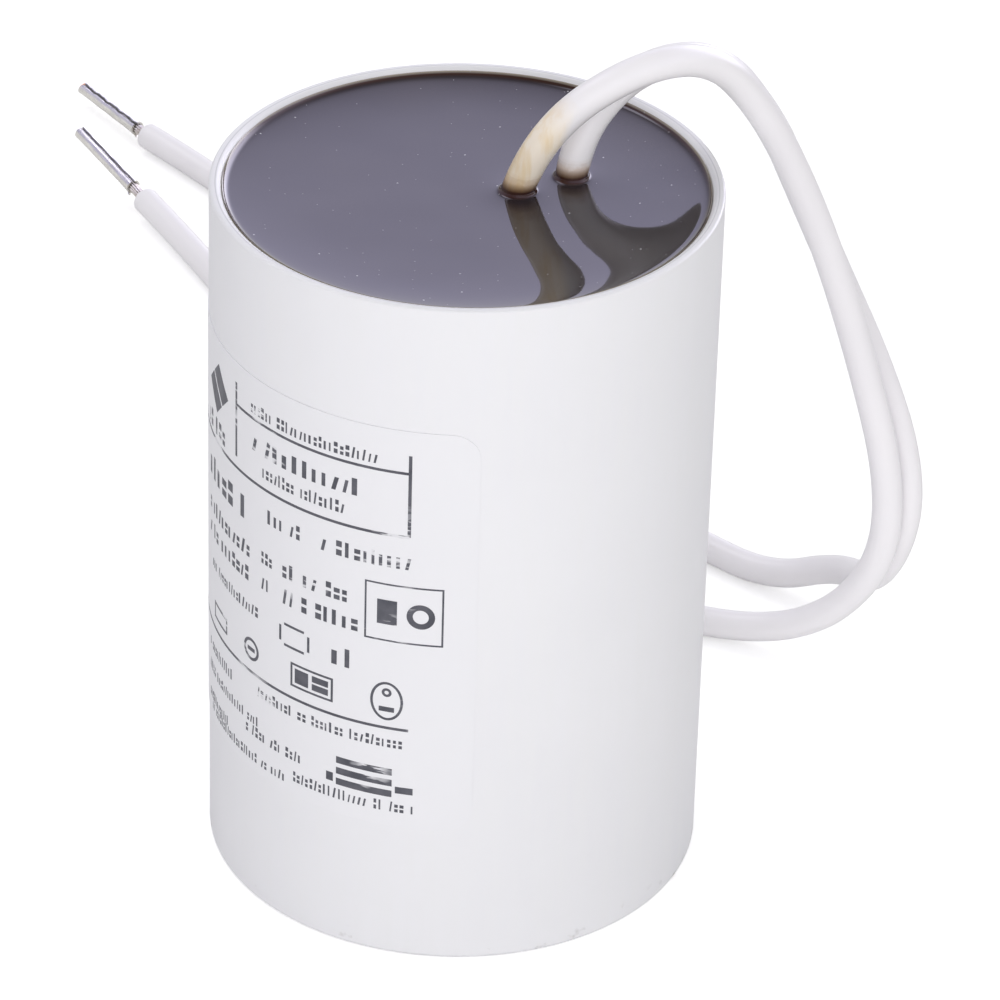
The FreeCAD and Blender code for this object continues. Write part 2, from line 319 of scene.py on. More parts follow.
# Helpers for the shapes.
def spinProfile(bm, points, steps, axis=(0, 0, 1)):
    # The points are (radius, height) for a turn about Z, (height, radius) about X.
    corners = []
    for first, second in points:
        corners.append(bm.verts.new((first, 0.0, second)))
    rims = [bm.edges.new(pair) for pair in zip(corners, corners[1:])]
    bmesh.ops.spin(
        bm,
        geom=corners + rims,
        cent=(0, 0, 0),
        axis=axis,
        angle=math.tau,
        steps=steps,
        use_merge=True,
    )
    bmesh.ops.remove_doubles(bm, verts=bm.verts[:], dist=1e-7)
    bmesh.ops.recalc_face_normals(bm, faces=bm.faces[:])


def hoopEdges(bm, radius, height):
    # The edges of one hoop round Z.
    def onHoop(vert):
        out = math.hypot(vert.co.x, vert.co.y) - radius
        return abs(out) < 2e-6 and abs(vert.co.z - height) < 2e-6

    return [edge for edge in bm.edges if all(onHoop(vert) for vert in edge.verts)]


def roundOff(bm, geom, offset, segments, affect="EDGES"):
    bmesh.ops.bevel(
        bm,
        geom=geom,
        offset=offset,
        segments=segments,
        profile=0.5,
        affect=affect,
        material=-1,
    )


def meshObject(bm, name, materials):
    mesh = bpy.data.meshes.new(name)
    bm.to_mesh(mesh)
    bm.free()
    for material in materials:
        mesh.materials.append(material)
    return addObject(name, mesh)


def finishPiece(bm, name, materials, sharp=None):
    # Smooth where its faces meet at less than the sharp angle, or else flat.
    piece = meshObject(bm, name, materials)
    for polygon in piece.data.polygons:
        polygon.use_smooth = sharp is not None
    if sharp is not None:
        piece.data.set_sharp_from_angle(angle=math.radians(sharp))
    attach(piece, "root")
    return piece


def dressNode(name, material):
    node = nodes[name]
    node.data.materials.clear()
    node.data.materials.append(material)
    for polygon in node.data.polygons:
        polygon.material_index = 0


# The moulded can: satin white plastic.
case = {
    "inner": 0.02135,
    "floor": 0.0016,
    "footRound": 0.0005,
    "rimRound": 0.00025,
    "rimFlat": 0.0007,
    "mouthDrop": 0.0004,
    "mouthRound": 0.00012,
    "baseRound": 0.0001,
    "grooveShadeInner": 0.02186,
    "grooveShadeOuter": 0.02202,
    "grooveShadeFade": 0.00006,
    "recessRadius": 0.004,
    "recessDepth": 0.0004,
    "stubRadius": 0.0009,
    "stubHeight": 0.00025,
    "steps": 288,
}


def casePlastic():
    material = newMaterial("casePlastic", {"IOR": 1.49, "Roughness": 0.36})
    broad = noiseMask(material, place(material), 60.0, 0.35, 0.7)
    streaks = noiseMask(material, place(material, (1, 1, 0.08)), 900.0, 0.3, 0.75)
    base = mixColour(material, broad, (0.800, 0.800, 0.815), (0.775, 0.775, 0.795))
    flow = mixColour(material, streaks, base, (0.79, 0.79, 0.80))
    specks = dotMask(material, place(material), 180.0, 0.035, 0.06)
    dirty = mixColour(material, specks, flow, (0.22, 0.20, 0.19))
    low = ranged(material, along(material, "Z"), 0.0022, 0.0002)
    patches = noiseMask(material, place(material), 420.0, 0.62, 0.7)
    scuffs = combine(material, low, patches, "MULTIPLY")
    worn = mixColour(material, scuffs, dirty, (0.45, 0.43, 0.42))
    # A faint darker line round the middle of the rim: painted shade of a shallow groove.
    inner, outer, fade = case["grooveShadeInner"], case["grooveShadeOuter"], case["grooveShadeFade"]
    past = ranged(material, fromAxis(material), inner, inner + fade)
    short = ranged(material, fromAxis(material), outer, outer - fade)
    ring = combine(material, past, short, "MULTIPLY")
    top = ranged(material, along(material, "Z"), canHeight - 0.0003, canHeight - 0.0001)
    line = combine(material, ring, top, "MULTIPLY")
    setColour(material, mixColour(material, line, worn, (0.60, 0.60, 0.62)))
    setRoughness(material, broad, 0.33, 0.42)
    addBump(material, noiseMask(material, place(material), 2600.0, 0.2, 0.8), 0.00001, 0.35)
    addBump(material, noiseMask(material, place(material), 45.0, 0.2, 0.8, 1.0), 0.00012, 0.25)
    return material


def makeCase(values, material):
    rim = canHeight
    mouth = rim - values["mouthDrop"]
    inner = values["inner"]
    recess = values["recessDepth"]
    tip = recess - values["stubHeight"]
    bm = bmesh.new()
    spinProfile(
        bm,
        [
            (0.0, tip),
            (values["stubRadius"], tip),
            (values["stubRadius"], recess),
            (values["recessRadius"], recess),
            (values["recessRadius"], 0.0),
            (canRadius, 0.0),
            (canRadius, rim),
            (canRadius - values["rimFlat"], rim),
            (inner, mouth),
            (inner, values["floor"]),
            (0.0, values["floor"]),
        ],
        values["steps"],
    )
    rounds = (
        (canRadius, 0.0, values["footRound"], 5),
        (canRadius, rim, values["rimRound"], 5),
        (canRadius - values["rimFlat"], rim, values["mouthRound"], 3),
        (inner, mouth, values["mouthRound"], 3),
        (values["recessRadius"], 0.0, values["baseRound"], 2),
        (values["stubRadius"], tip, values["baseRound"], 2),
    )
    for radius, height, offset, segments in rounds:
        roundOff(bm, hoopEdges(bm, radius, height), offset, segments)
    piece = finishPiece(bm, "canShell", [material], sharp=35)
    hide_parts("case")


makeCase(case, casePlastic())
print("can moulded")

# The resin: its skin dips, climbs the wall and clings to the leads.
resin = {
    "level": 0.06592,
    "dish": 0.00024,
    "radius": 0.02134,
    "floor": 0.00162,
    "elementLow": 0.0046,
    "elementHigh": 0.0558,
    "elementRadius": 0.020,
    "steps": 300,
    "skirt": 0.0015,
    "coarse": 0.00026,
    "fine": 0.0001,
    "fineFrom": 0.0186,
    "wallRise": 0.00038,
    "wallReach": 0.00020,
    "leadRise": 0.00032,
    "leadReach": 0.00010,
    "broadRise": 0.00055,
    "broadReach": 0.0035,
    "leadBroadRise": 0.0001375,
    "leadBroadReach": 0.0014,
    "leanTurns": 8,
    "refined": (0.0034, 0.0026, 0.0021),
    "ripple": 0.000012,
}


def leadExit(points, level):
    # Where a lead's centre line rises through the resin, and which way it goes.
    for before, after in zip(points, points[1:]):
        if before.z <= level < after.z:
            share = (level - before.z) / (after.z - before.z)
            return before.lerp(after, share), (after - before).normalized()
    raise ValueError("a lead never leaves the resin")


def resinRise(values, point, exits):
    # Returns the whole rise, and how far up a lead and the wall it is.
    radius = math.hypot(point.x, point.y)
    gap = max(0.0, values["radius"] - radius)
    wall = values["wallRise"] * math.exp(-gap / values["wallReach"])
    dish = values["dish"] * ((radius / values["radius"]) ** 2 - 1.0)
    broad = values["broadRise"] * math.exp(-gap / values["broadReach"]) + dish
    climb = 0.0
    for middle, direction in exits:
        own = 0.0
        for turn in range(values["leanTurns"]):
            # The lead leans, so its side is looked for at the height reached so far.
            offset = point + Vector((0, 0, own * values["leadRise"])) - middle
            away = (offset - direction * offset.dot(direction)).length - frontLead["radius"]
            own = (own + math.exp(-max(0.0, away) / values["leadReach"])) / 2
        climb = max(climb, own)
        away = max(0.0, away)
        broad += values["leadBroadRise"] * math.exp(-away / values["leadBroadReach"])
    ripple = values["ripple"] * noise.noise(point * 220.0)
    return wall + broad + values["leadRise"] * climb + ripple, climb, wall / values["wallRise"]


def resinFinish():
    material = newMaterial("pottingResin", {"IOR": 1.53, "Roughness": 0.03})
    body = mixColour(
        material,
        noiseMask(material, place(material), 110.0, 0.35, 0.7),
        (0.028, 0.021, 0.023),
        (0.036, 0.028, 0.028),
    )
    # Where the skin thins out on the wall it turns brown, then olive.
    thin = ranged(material, attribute(material, "wall"), 0.10, 0.40)
    brown = mixColour(material, thin, body, (0.045, 0.020, 0.012))
    thinnest = ranged(material, attribute(material, "wall"), 0.50, 0.92)
    olive = mixColour(material, thinnest, brown, (0.34, 0.30, 0.24))
    cling = ranged(material, attribute(material, "climb"), 0.03, 0.30)
    dark = mixColour(material, cling, olive, (0.040, 0.014, 0.009))
    dust = dotMask(material, place(material), 330.0, 0.034, 0.15, "2D")
    elsewhere = place(material, (1, 1, 1), (0.4, 0.7, 0))
    fine = dotMask(material, elsewhere, 700.0, 0.05, 0.18, "2D")
    faint = combine(material, fine, 0.5, "MULTIPLY")
    dots = combine(material, dust, faint, "MAXIMUM")
    setColour(material, mixColour(material, dots, dark, (0.48, 0.47, 0.50)))
    setRoughness(material, cling, 0.03, 0.22)
    addBump(material, noiseMask(material, place(material), 160.0, 0.2, 0.8, 1.0), 0.00002, 0.2)
    return material


def makeResin(values, material, exits):
    bm = bmesh.new()
    level = values["level"]
    points = [(0.0, level)]
    radius = 0.0
    while radius < values["fineFrom"]:
        radius += values["coarse"]
        points.append((radius, level))
    while radius < values["radius"] - 1.5 * values["fine"]:
        radius += values["fine"]
        points.append((radius, level))
    for height in (level, level - values["skirt"], values["floor"]):
        points.append((values["radius"], height))
    points.append((0.0, values["floor"]))
    spinProfile(bm, points, values["steps"])
    for reach in values["refined"]:
        near = []
        for edge in bm.edges:
            middle = (edge.verts[0].co + edge.verts[1].co) / 2
            gap = min((middle - leaving[0]).length for leaving in exits)
            if middle.z > level - 1e-6 and gap < reach:
                near.append(edge)
        bmesh.ops.subdivide_edges(bm, edges=near, cuts=1, use_grid_fill=True)
    climbLayer = bm.verts.layers.float.new("climb")
    wallLayer = bm.verts.layers.float.new("wall")
    for vert in bm.verts:
        if vert.co.z > level - 1e-6:
            rise, climb, wall = resinRise(values, vert.co.copy(), exits)
            vert.co.z += rise
            vert[climbLayer] = climb
            vert[wallLayer] = wall
    # The room that the wound element takes.
    hollow = bmesh.new()
    low, high, reach = values["elementLow"], values["elementHigh"], values["elementRadius"]
    spinProfile(hollow, [(0.0, low), (reach, low), (reach, high), (0.0, high)], 96)
    bmesh.ops.reverse_faces(hollow, faces=hollow.faces[:])
    spare = bpy.data.meshes.new("elementRoom")
    hollow.to_mesh(spare)
    hollow.free()
    bm.from_mesh(spare)
    bpy.data.meshes.remove(spare)
    piece = finishPiece(bm, "resinFill", [material], sharp=60)
    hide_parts("potting_resin")


leadExits = [leadExit(centreLine(cord), resin["level"]) for cord in (frontCord, rearCord)]
makeResin(resin, resinFinish(), leadExits)
print("resin poured")

# The label: a thin film with rounded corners, bent round the can.
label = {
    "width": 0.060,
    "low": 0.014,
    "height": 0.041,
    "thickness": 0.00008,
    "corner": 0.0025,
    "edgeDegrees": 4.5,
    "inkThickness": 0.00001,
    "inkLeft": -0.036,
    "step": 0.0008,
    "inkStep": 0.001,
    "seed": 21,
}

# Print, as arc mm to the left of the front: start, end, middle height, size, weight.
printRows = [
    (21.1, 7.1, 51.9, 1.1, 0.8),
    (20.9, 8.2, 48.5, 1.7, 1.2),
    (19.4, 9.6, 46.1, 1.2, 0.7),
    (30.8, 21.8, 41.0, 2.3, 1.3),
    (18.7, 14.35, 41.8, 1.4, 1.0),
    (12.5, 3.8, 41.85, 1.5, 1.0),
    (30.8, 20.9, 37.0, 1.46, 1.0),
    (19.5, 18.0, 37.3, 1.2, 0.8),
    (16.75, 8.5, 37.3, 1.54, 1.0),
    (30.8, 21.0, 34.5, 1.47, 1.0),
    (19.5, 18.0, 34.6, 1.2, 0.8),
    (16.7, 8.5, 34.6, 1.55, 1.0),
    (29.8, 19.6, 31.1, 1.05, 0.9),
    (11.3, 8.2, 30.7, 1.9, 1.1),
    (30.9, 24.0, 22.0, 1.08, 0.8),
    (20.0, 4.1, 22.9, 1.06, 0.8),
    (31.0, 19.3, 19.5, 0.97, 0.8),
    (21.8, 13.9, 18.3, 1.07, 0.8),
    (31.0, 25.0, 16.5, 0.97, 0.8),
    (29.9, 16.2, 15.5, 0.97, 0.8),
    (15.3, 3.2, 16.1, 1.07, 0.8),
]
# Rules, bars and the four bars of an open square, in the same mm: start, end, low, high.
printBars = [
    (23.75, 23.45, 45.5, 53.0),
    (4.4, 4.1, 44.4, 52.6),
    (23.6, 4.1, 50.66, 50.93),
    (36.0, 4.2, 44.26, 44.54),
    (36.0, 4.0, 24.26, 24.54),
    (7.0, 5.2, 35.2, 37.7),
    (15.2, 13.7, 26.15, 27.65),
    (13.3, 11.6, 27.0, 27.65),
    (13.3, 11.6, 26.15, 26.8),
    (21.55, 20.45, 26.6, 27.0),
    (6.7, 5.3, 26.1, 26.6),
    (16.5, 14.2, 31.65, 31.9),
    (16.5, 14.2, 29.5, 29.75),
    (17.1, 16.85, 29.9, 31.5),
    (13.85, 13.6, 29.9, 31.5),
    (10.7, 5.4, 17.1, 17.8),
    (10.7, 5.4, 18.25, 18.95),
    (10.7, 5.4, 19.4, 20.1),
    (5.1, 3.5, 17.6, 18.3),
    (11.7, 11.0, 17.3, 18.2),
]
# Frames: start, end, low, high, line. Rings: middle, level, across, tall, line.
printFrames = [
    (8.15, 1.1, 33.45, 39.4, 0.17),
    (15.7, 11.1, 25.65, 28.15, 0.22),
    (29.0, 25.5, 25.6, 27.3, 0.24),
]
printRings = [
    (3.1, 36.4, 2.5, 2.5, 0.55),
    (21.0, 26.8, 2.3, 2.3, 0.3),
    (6.0, 27.2, 3.0, 4.0, 0.24),
    (6.0, 28.1, 0.9, 0.9, 0.25),
]
# Two slanted blocks at the left edge, with a row under them.
printBlocks = {"at": 27.9, "level": 50.0, "half": 1.7, "long": 2.0, "gap": 0.15, "turn": 0.8}
printLastRow = (31.2, 25.0, 45.9, 1.7, 1.0)


def wrapRound(bm, radius):
    # From the flat drawing in XZ, seen from -Y, to the can's side.
    for vert in bm.verts:
        angle = vert.co.x / canRadius
        reach = radius - vert.co.y
        vert.co.x = reach * math.sin(angle)
        vert.co.y = -reach * math.cos(angle)


def thickenAndWrap(bm, thickness, radius):
    # The thickness goes outwards from the radius.
    bmesh.ops.solidify(bm, geom=bm.faces[:], thickness=thickness)
    back = max(vert.co.y for vert in bm.verts)
    bmesh.ops.translate(bm, verts=bm.verts[:], vec=(0, -back, 0))
    bmesh.ops.recalc_face_normals(bm, faces=bm.faces[:])
    wrapRound(bm, radius)


def cutUpright(bm, low, high, step):
    # Upright cuts, so that the flat drawing can bend.
    at = low + step
    while at < high:
        bmesh.ops.bisect_plane(
            bm,
            geom=bm.verts[:] + bm.edges[:] + bm.faces[:],
            dist=1e-7,
            plane_co=(at, 0, 0),
            plane_no=(1, 0, 0),
        )
        at += step


def addPatch(bm, left, right, low, high):
    # A flat rectangle that faces -Y.
    middle = Vector(((left + right) / 2, 0.0, (low + high) / 2))
    size = Matrix.Diagonal((right - left, high - low, 1.0, 1.0))
    turn = Matrix.Rotation(math.pi / 2, 4, "X")
    made = bmesh.ops.create_grid(
        bm, x_segments=1, y_segments=1, size=0.5, matrix=Matrix.Translation(middle) @ turn @ size
    )
    return made["verts"]


def labelFilm():
    material = newMaterial("labelFilm", {"IOR": 1.5, "Roughness": 0.3})
    broad = noiseMask(material, place(material), 50.0, 0.1, 0.9)
    base = mixColour(material, broad, (0.802, 0.802, 0.818), (0.782, 0.782, 0.800))
    setColour(material, base)
    setRoughness(material, broad, 0.27, 0.34)
    addBump(material, noiseMask(material, place(material), 1500.0, 0.2, 0.8), 0.00001, 0.2)
    return material


def makeLabel(values, material):
    right = math.radians(values["edgeDegrees"]) * canRadius
    left = right - values["width"]
    bm = bmesh.new()
    corners = addPatch(bm, left, right, values["low"], values["low"] + values["height"])
    roundOff(bm, corners, values["corner"], 8, "VERTICES")
    cutUpright(bm, left, right, values["step"])
    thickenAndWrap(bm, values["thickness"], canRadius)
    piece = finishPiece(bm, "labelSheet", [material], sharp=40)
    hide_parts("label")


makeLabel(label, labelFilm())


def labelInk():
    # Grey ink, rubbed through to the film in places.
    material = newMaterial("labelInk", {"IOR": 1.45, "Roughness": 0.45})
    faded = noiseMask(material, place(material), 700.0, 0.35, 0.75)
    ink = mixColour(material, faded, (0.070, 0.072, 0.088), (0.125, 0.125, 0.145))
    patches = noiseMask(material, place(material), 150.0, 0.55, 0.62)
    threads = noiseMask(material, place(material, (0.2, 0.2, 1)), 2200.0, 0.50, 0.56)
    worn = combine(material, patches, threads, "MULTIPLY")
    setColour(material, mixColour(material, worn, ink, (0.72, 0.72, 0.74)))
    addBump(material, noiseMask(material, place(material), 3000.0, 0.2, 0.8), 0.000005, 0.3)
    return material


def addMark(bm, dice, left, right, low, high):
    # One plain mark: a bar, a split bar or a slanted bar.
    kind = dice.random()
    tall = high - low
    if kind < 0.4:
        addPatch(bm, left, left + 0.6 * (right - left), low, high)
    elif kind < 0.75:
        addPatch(bm, left, right, low, low + 0.40 * tall)
        addPatch(bm, left, right, high - 0.40 * tall, high)
    else:
        corners = addPatch(bm, left, left + 0.55 * (right - left), low, high)
        for vert in corners:
            if vert.co.z > (low + high) / 2:
                vert.co.x += 0.45 * (right - left)


def addRow(bm, dice, start, end, level, size, weight):
    # A row of plain marks that stands in for a line of print.
    at = start
    while at > end + 0.3 * size:
        width = min(size * dice.uniform(0.28, 0.44) * weight, at - end)
        tall = size * dice.choice((1.0, 1.0, 0.76, 0.76, 0.76))
        low = level - size / 2
        addMark(bm, dice, -at * mm, (width - at) * mm, low * mm, (low + tall) * mm)
        at -= width + size * dice.uniform(0.15, 0.22)
        if dice.random() < 0.15:
            at -= 0.45 * size


def addBar(bm, start, end, low, high):
    return addPatch(bm, -start * mm, -end * mm, low * mm, high * mm)


def addFrame(bm, start, end, low, high, line):
    addBar(bm, start, end, low, low + line)
    addBar(bm, start, end, high - line, high)
    addBar(bm, start, start - line, low + line, high - line)
    addBar(bm, end + line, end, low + line, high - line)


def addRing(bm, at, level, across, tall, line):
    # A ring or an oval, drawn as a disc with its middle taken out.
    turn = Matrix.Rotation(math.pi / 2, 4, "X")
    size = Matrix.Diagonal((across / 2 * mm, tall / 2 * mm, 1.0, 1.0))
    where = Matrix.Translation((-at * mm, 0, level * mm)) @ turn @ size
    made = bmesh.ops.create_circle(bm, cap_ends=True, segments=36, radius=1.0, matrix=where)
    disc = made["verts"][0].link_faces[0]
    bmesh.ops.inset_individual(bm, faces=[disc], thickness=line * mm)
    bmesh.ops.delete(bm, geom=[disc], context="FACES_ONLY")


def makePrint(values, blocks, material):
    bm = bmesh.new()
    dice = random.Random(values["seed"])
    for row in printRows:
        addRow(bm, dice, *row)
    for bar in printBars:
        addBar(bm, *bar)
    for outline in printFrames:
        addFrame(bm, *outline)
    for ring in printRings:
        addRing(bm, *ring)
    middle = Matrix.Translation((-blocks["at"] * mm, 0, blocks["level"] * mm))
    tilt = middle @ Matrix.Rotation(blocks["turn"], 4, "Y")
    for low, high in ((-blocks["long"], -blocks["gap"]), (blocks["gap"], blocks["long"])):
        block = addBar(bm, blocks["half"], -blocks["half"], low, high)
        bmesh.ops.transform(bm, matrix=tilt, verts=block)
    addRow(bm, dice, *printLastRow)
    cutUpright(bm, values["inkLeft"], 0.0, values["inkStep"])
    thickenAndWrap(bm, values["inkThickness"], canRadius + values["thickness"])
    piece = finishPiece(bm, "labelPrint", [material])


makePrint(label, printBlocks, labelInk())
print("label and print on")

# Insulation: a brown foot where the resin climbs each lead, and on the front
# lead a pale stain that runs further up its left side.
insulation = {
    "footLow": 0.0003,
    "footHigh": 0.0022,
    "stainReach": 0.0105,
    "stainFull": 0.0075,
    "stainWidth": 0.0007,
    "stainLean": 0.42,
    "footReach": 0.0100,
    "footFull": 0.0070,
    "endProud": 0.000003,
    "endStart": -0.0011,
    "endTaper": (0.0002, 0.00004),
    "endRound": 0.00024,
    "endHollow": ((0.00018, 0.00070), (0.00006, 0.00062), (0.00006, 0.0)),
    "coreFoot": 0.004,
    "coreLap": 0.0002,
}


def leadInsulation(name, exitPoint, stained):
    material = newMaterial(name, {"IOR": 1.52, "Roughness": 0.33})
    broad = noiseMask(material, place(material), 90.0, 0.35, 0.7)
    base = mixColour(material, broad, (0.885, 0.868, 0.880), (0.860, 0.843, 0.858))
    specks = dotMask(material, place(material), 260.0, 0.05, 0.12)
    colour = mixColour(material, specks, base, (0.40, 0.37, 0.35))
    if exitPoint is None:
        setColour(material, colour)
        setRoughness(material, broad, 0.30, 0.38)
        return material
    away = awayFrom(material, exitPoint)
    near = ranged(material, away, insulation["footReach"], insulation["footFull"])
    height = along(material, "Z")
    if stained:
        # The stain's edge follows the lead as it leans over.
        up = combine(material, height, exitPoint.z, "SUBTRACT")
        lean = combine(material, up, insulation["stainLean"], "MULTIPLY")
        edge = combine(material, lean, exitPoint.x + insulation["stainWidth"], "ADD")
        wobble = noiseMask(material, place(material, (1, 1, 0.3)), 700.0, 0.0, 1.0)
        spread = combine(material, combine(material, wobble, 0.0014, "MULTIPLY"), edge, "ADD")
        side = combine(material, spread, along(material, "X"), "SUBTRACT", clamp=False)
        left = ranged(material, side, -0.0003, 0.0006)
        reach = ranged(material, away, insulation["stainReach"], insulation["stainFull"])
        patch = combine(material, left, reach, "MULTIPLY")
        streaks = noiseMask(material, place(material, (1, 1, 0.12)), 1000.0, 0.42, 0.60)
        film = mixColour(material, streaks, (0.86, 0.71, 0.49), (0.92, 0.83, 0.70))
        colour = mixColour(material, patch, colour, film)
    top, base = exitPoint.z + insulation["footHigh"], exitPoint.z + insulation["footLow"]
    foot = ranged(material, height, top, base)
    ragged = noiseMask(material, place(material), 900.0, 0.25, 0.6)
    amberMask = combine(material, foot, combine(material, foot, ragged, "ADD"), "MULTIPLY")
    brownMask = ranged(material, foot, 0.50, 0.95)
    amberHere = combine(material, amberMask, near, "MULTIPLY")
    amber = mixColour(material, amberHere, colour, (0.40, 0.23, 0.09))
    brownHere = combine(material, brownMask, near, "MULTIPLY")
    setColour(material, mixColour(material, brownHere, amber, (0.040, 0.015, 0.010)))
    setRoughness(material, combine(material, foot, near, "MULTIPLY"), 0.33, 0.06)
    addBump(material, noiseMask(material, place(material), 1800.0, 0.2, 0.8), 0.00001, 0.3)
    addBump(material, noiseMask(material, place(material), 160.0, 0.2, 0.8, 1.0), 0.00006, 0.25)
    return material


plainInsulation = leadInsulation("leadInsulation", None, False)
frontCord.data.materials.append(leadInsulation("frontInsulation", leadExits[0][0], True))
rearCord.data.materials.append(leadInsulation("rearInsulation", leadExits[1][0], False))


def makeInsulationEnd(name, values, material):
    # A rounded end just past the cord's own, with a slight hollow in its face.
    radius = values["radius"] + insulation["endProud"]
    start, end = insulation["endStart"], insulation["endRound"]
    long, deep = insulation["endTaper"]
    outline = [(start, 0.0), (start, radius - deep), (start + long, radius), (end, radius)]
    bm = bmesh.new()
    spinProfile(bm, outline + list(insulation["endHollow"]), 48, axis=(1, 0, 0))
    rim = []
    for edge in bm.edges:
        if all(abs(vert.co.x - end) < 2e-6 for vert in edge.verts):
            rim.append(edge)
    roundOff(bm, rim, insulation["endRound"], 4)
    tip = Vector(values["route"][-1])
    ahead = tip - Vector(values["route"][-2])
    turn = ahead.to_track_quat("X", "Z").to_matrix().to_4x4()
    bmesh.ops.transform(bm, matrix=Matrix.Translation(tip) @ turn, verts=bm.verts[:])
    piece = finishPiece(bm, name, [material], sharp=50)
    return piece


def makeCoreRun(material):
    # The front lead's straight run down the winding core.
    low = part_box("front_lead")[0].z + insulation["coreFoot"]
    high = frontLead["route"][0][2] + insulation["coreLap"]
    radius = frontLead["radius"]
    bm = bmesh.new()
    spinProfile(bm, [(0.0, low), (radius, low), (radius, high), (0.0, high)], 32)
    piece = finishPiece(bm, "frontCoreRun", [material], sharp=40)
    return piece


# The bare ends: nineteen twisted wires in a crimped open-barrel sleeve.
strands = {
    "wire": 0.00012,
    "rings": ((1, 0.0), (6, 0.00023), (12, 0.00046)),
    "twist": 70.0,
    "steps": 36,
    "start": -0.0016,
    "endDrop": 0.00015,
    "uneven": (-0.0002, 0.0001),
    "copperLength": 0.00045,
}
sleeve = {
    "length": 0.0114,
    "radius": 0.00078,
    "wall": 0.0002,
    "mouthDrop": 0.00035,
    "flare": 0.00005,
    "flareReach": 0.0004,
    "squeeze": 0.000035,
    "squeezePitch": 0.0031,
    "squeezeStart": 0.001,
    "wavePitch": 0.0027,
    "fineWavePitch": 0.0013,
    "curl": 0.00015,
    "curlFrom": 0.92,
    "burrSize": (0.00045, 0.0003, 0.00014),
    "burrAt": -0.00008,
    "burrLean": -34.0,
    "burrTurn": 45.0,
}


def endPlacement(values, roll):
    tip = Matrix.Translation(values["tip"])
    level = Matrix.Rotation(math.radians(values["heading"]), 4, "Z")
    rise = Matrix.Rotation(math.radians(-values["rise"]), 4, "Y")
    return tip @ level @ rise @ Matrix.Rotation(math.radians(roll), 4, "X")


def tinnedWire():
    material = newMaterial("tinnedWire", {"Metallic": 1.0, "Roughness": 0.3})
    grain = noiseMask(material, place(material), 1400.0, 0.35, 0.7)
    setColour(material, mixColour(material, grain, (0.80, 0.76, 0.70), (0.62, 0.56, 0.47)))
    setRoughness(material, grain, 0.25, 0.4)
    addBump(material, grain, 0.00001, 0.4)
    return material


def cutCopper():
    material = newMaterial("cutCopper", {"Metallic": 1.0, "Roughness": 0.35})
    grain = noiseMask(material, place(material), 3000.0, 0.3, 0.7)
    setColour(material, mixColour(material, grain, (0.80, 0.45, 0.27), (0.60, 0.30, 0.17)))
    addBump(material, grain, 0.00001, 0.4)
    return material


def platedSleeve():
    material = newMaterial("platedSleeve", {"Metallic": 1.0, "Roughness": 0.24})
    run = combine(material, attribute(material, "run"), 0.5, "MULTIPLY")
    inputs = {0: attribute(material, "round"), 1: run}
    drawn = addNode(material, "ShaderNodeCombineXYZ", inputs)
    lines = noiseMask(material, drawn.outputs["Vector"], 9.0, 0.30, 0.70)
    grain = noiseMask(material, place(material), 1500.0, 0.35, 0.7)
    plate = mixColour(material, lines, (0.93, 0.91, 0.84), (0.70, 0.685, 0.65))
    # Painted shade: the plate turns dark grey where its edges curl in at the seam.
    seam = ranged(material, attribute(material, "seam"), 0.02, 0.40)
    setColour(material, mixColour(material, seam, plate, (0.26, 0.255, 0.235)))
    setRoughness(material, combine(material, grain, seam, "MAXIMUM"), 0.20, 0.40)
    addBump(material, lines, 0.00003, 0.5)
    addBump(material, grain, 0.00001, 0.3)
    return material


def makeStrands(name, values, materials):
    bm = bmesh.new()
    dice = random.Random(values["seed"])
    start = strands["start"]
    full = values["bare"] + sleeve["length"] - strands["endDrop"]
    steps = strands["steps"]
    turn = Matrix.Rotation(math.pi / 2, 4, "Y")
    for count, out in strands["rings"]:
        for index in range(count):
            angle = math.tau * (index + 0.5) / count
            where = Matrix.Translation((start, out * math.cos(angle), out * math.sin(angle)))
            made = bmesh.ops.create_circle(
                bm, segments=8, radius=strands["wire"], matrix=where @ turn
            )
            hoop = made["verts"]
            rims = list({edge for vert in hoop for edge in vert.link_edges})
            length = full - start + dice.uniform(*strands["uneven"])
            bmesh.ops.spin(
                bm,
                geom=hoop + rims,
                cent=(0, 0, 0),
                axis=(1, 0, 0),
                dvec=(length / steps, 0, 0),
                angle=math.radians(strands["twist"]),
                steps=steps,
            )
    ends = [edge for edge in bm.edges if edge.is_boundary]
    cut = set(bmesh.ops.holes_fill(bm, edges=ends, sides=0)["faces"])
    bare = full - strands["copperLength"]
    for face in bm.faces:
        if face in cut or face.calc_center_median().x > bare:
            face.material_index = 1
    bmesh.ops.recalc_face_normals(bm, faces=bm.faces[:])
    bmesh.ops.transform(bm, matrix=endPlacement(values, 0.0), verts=bm.verts[:])
    piece = finishPiece(bm, name, materials, sharp=60)
    return piece


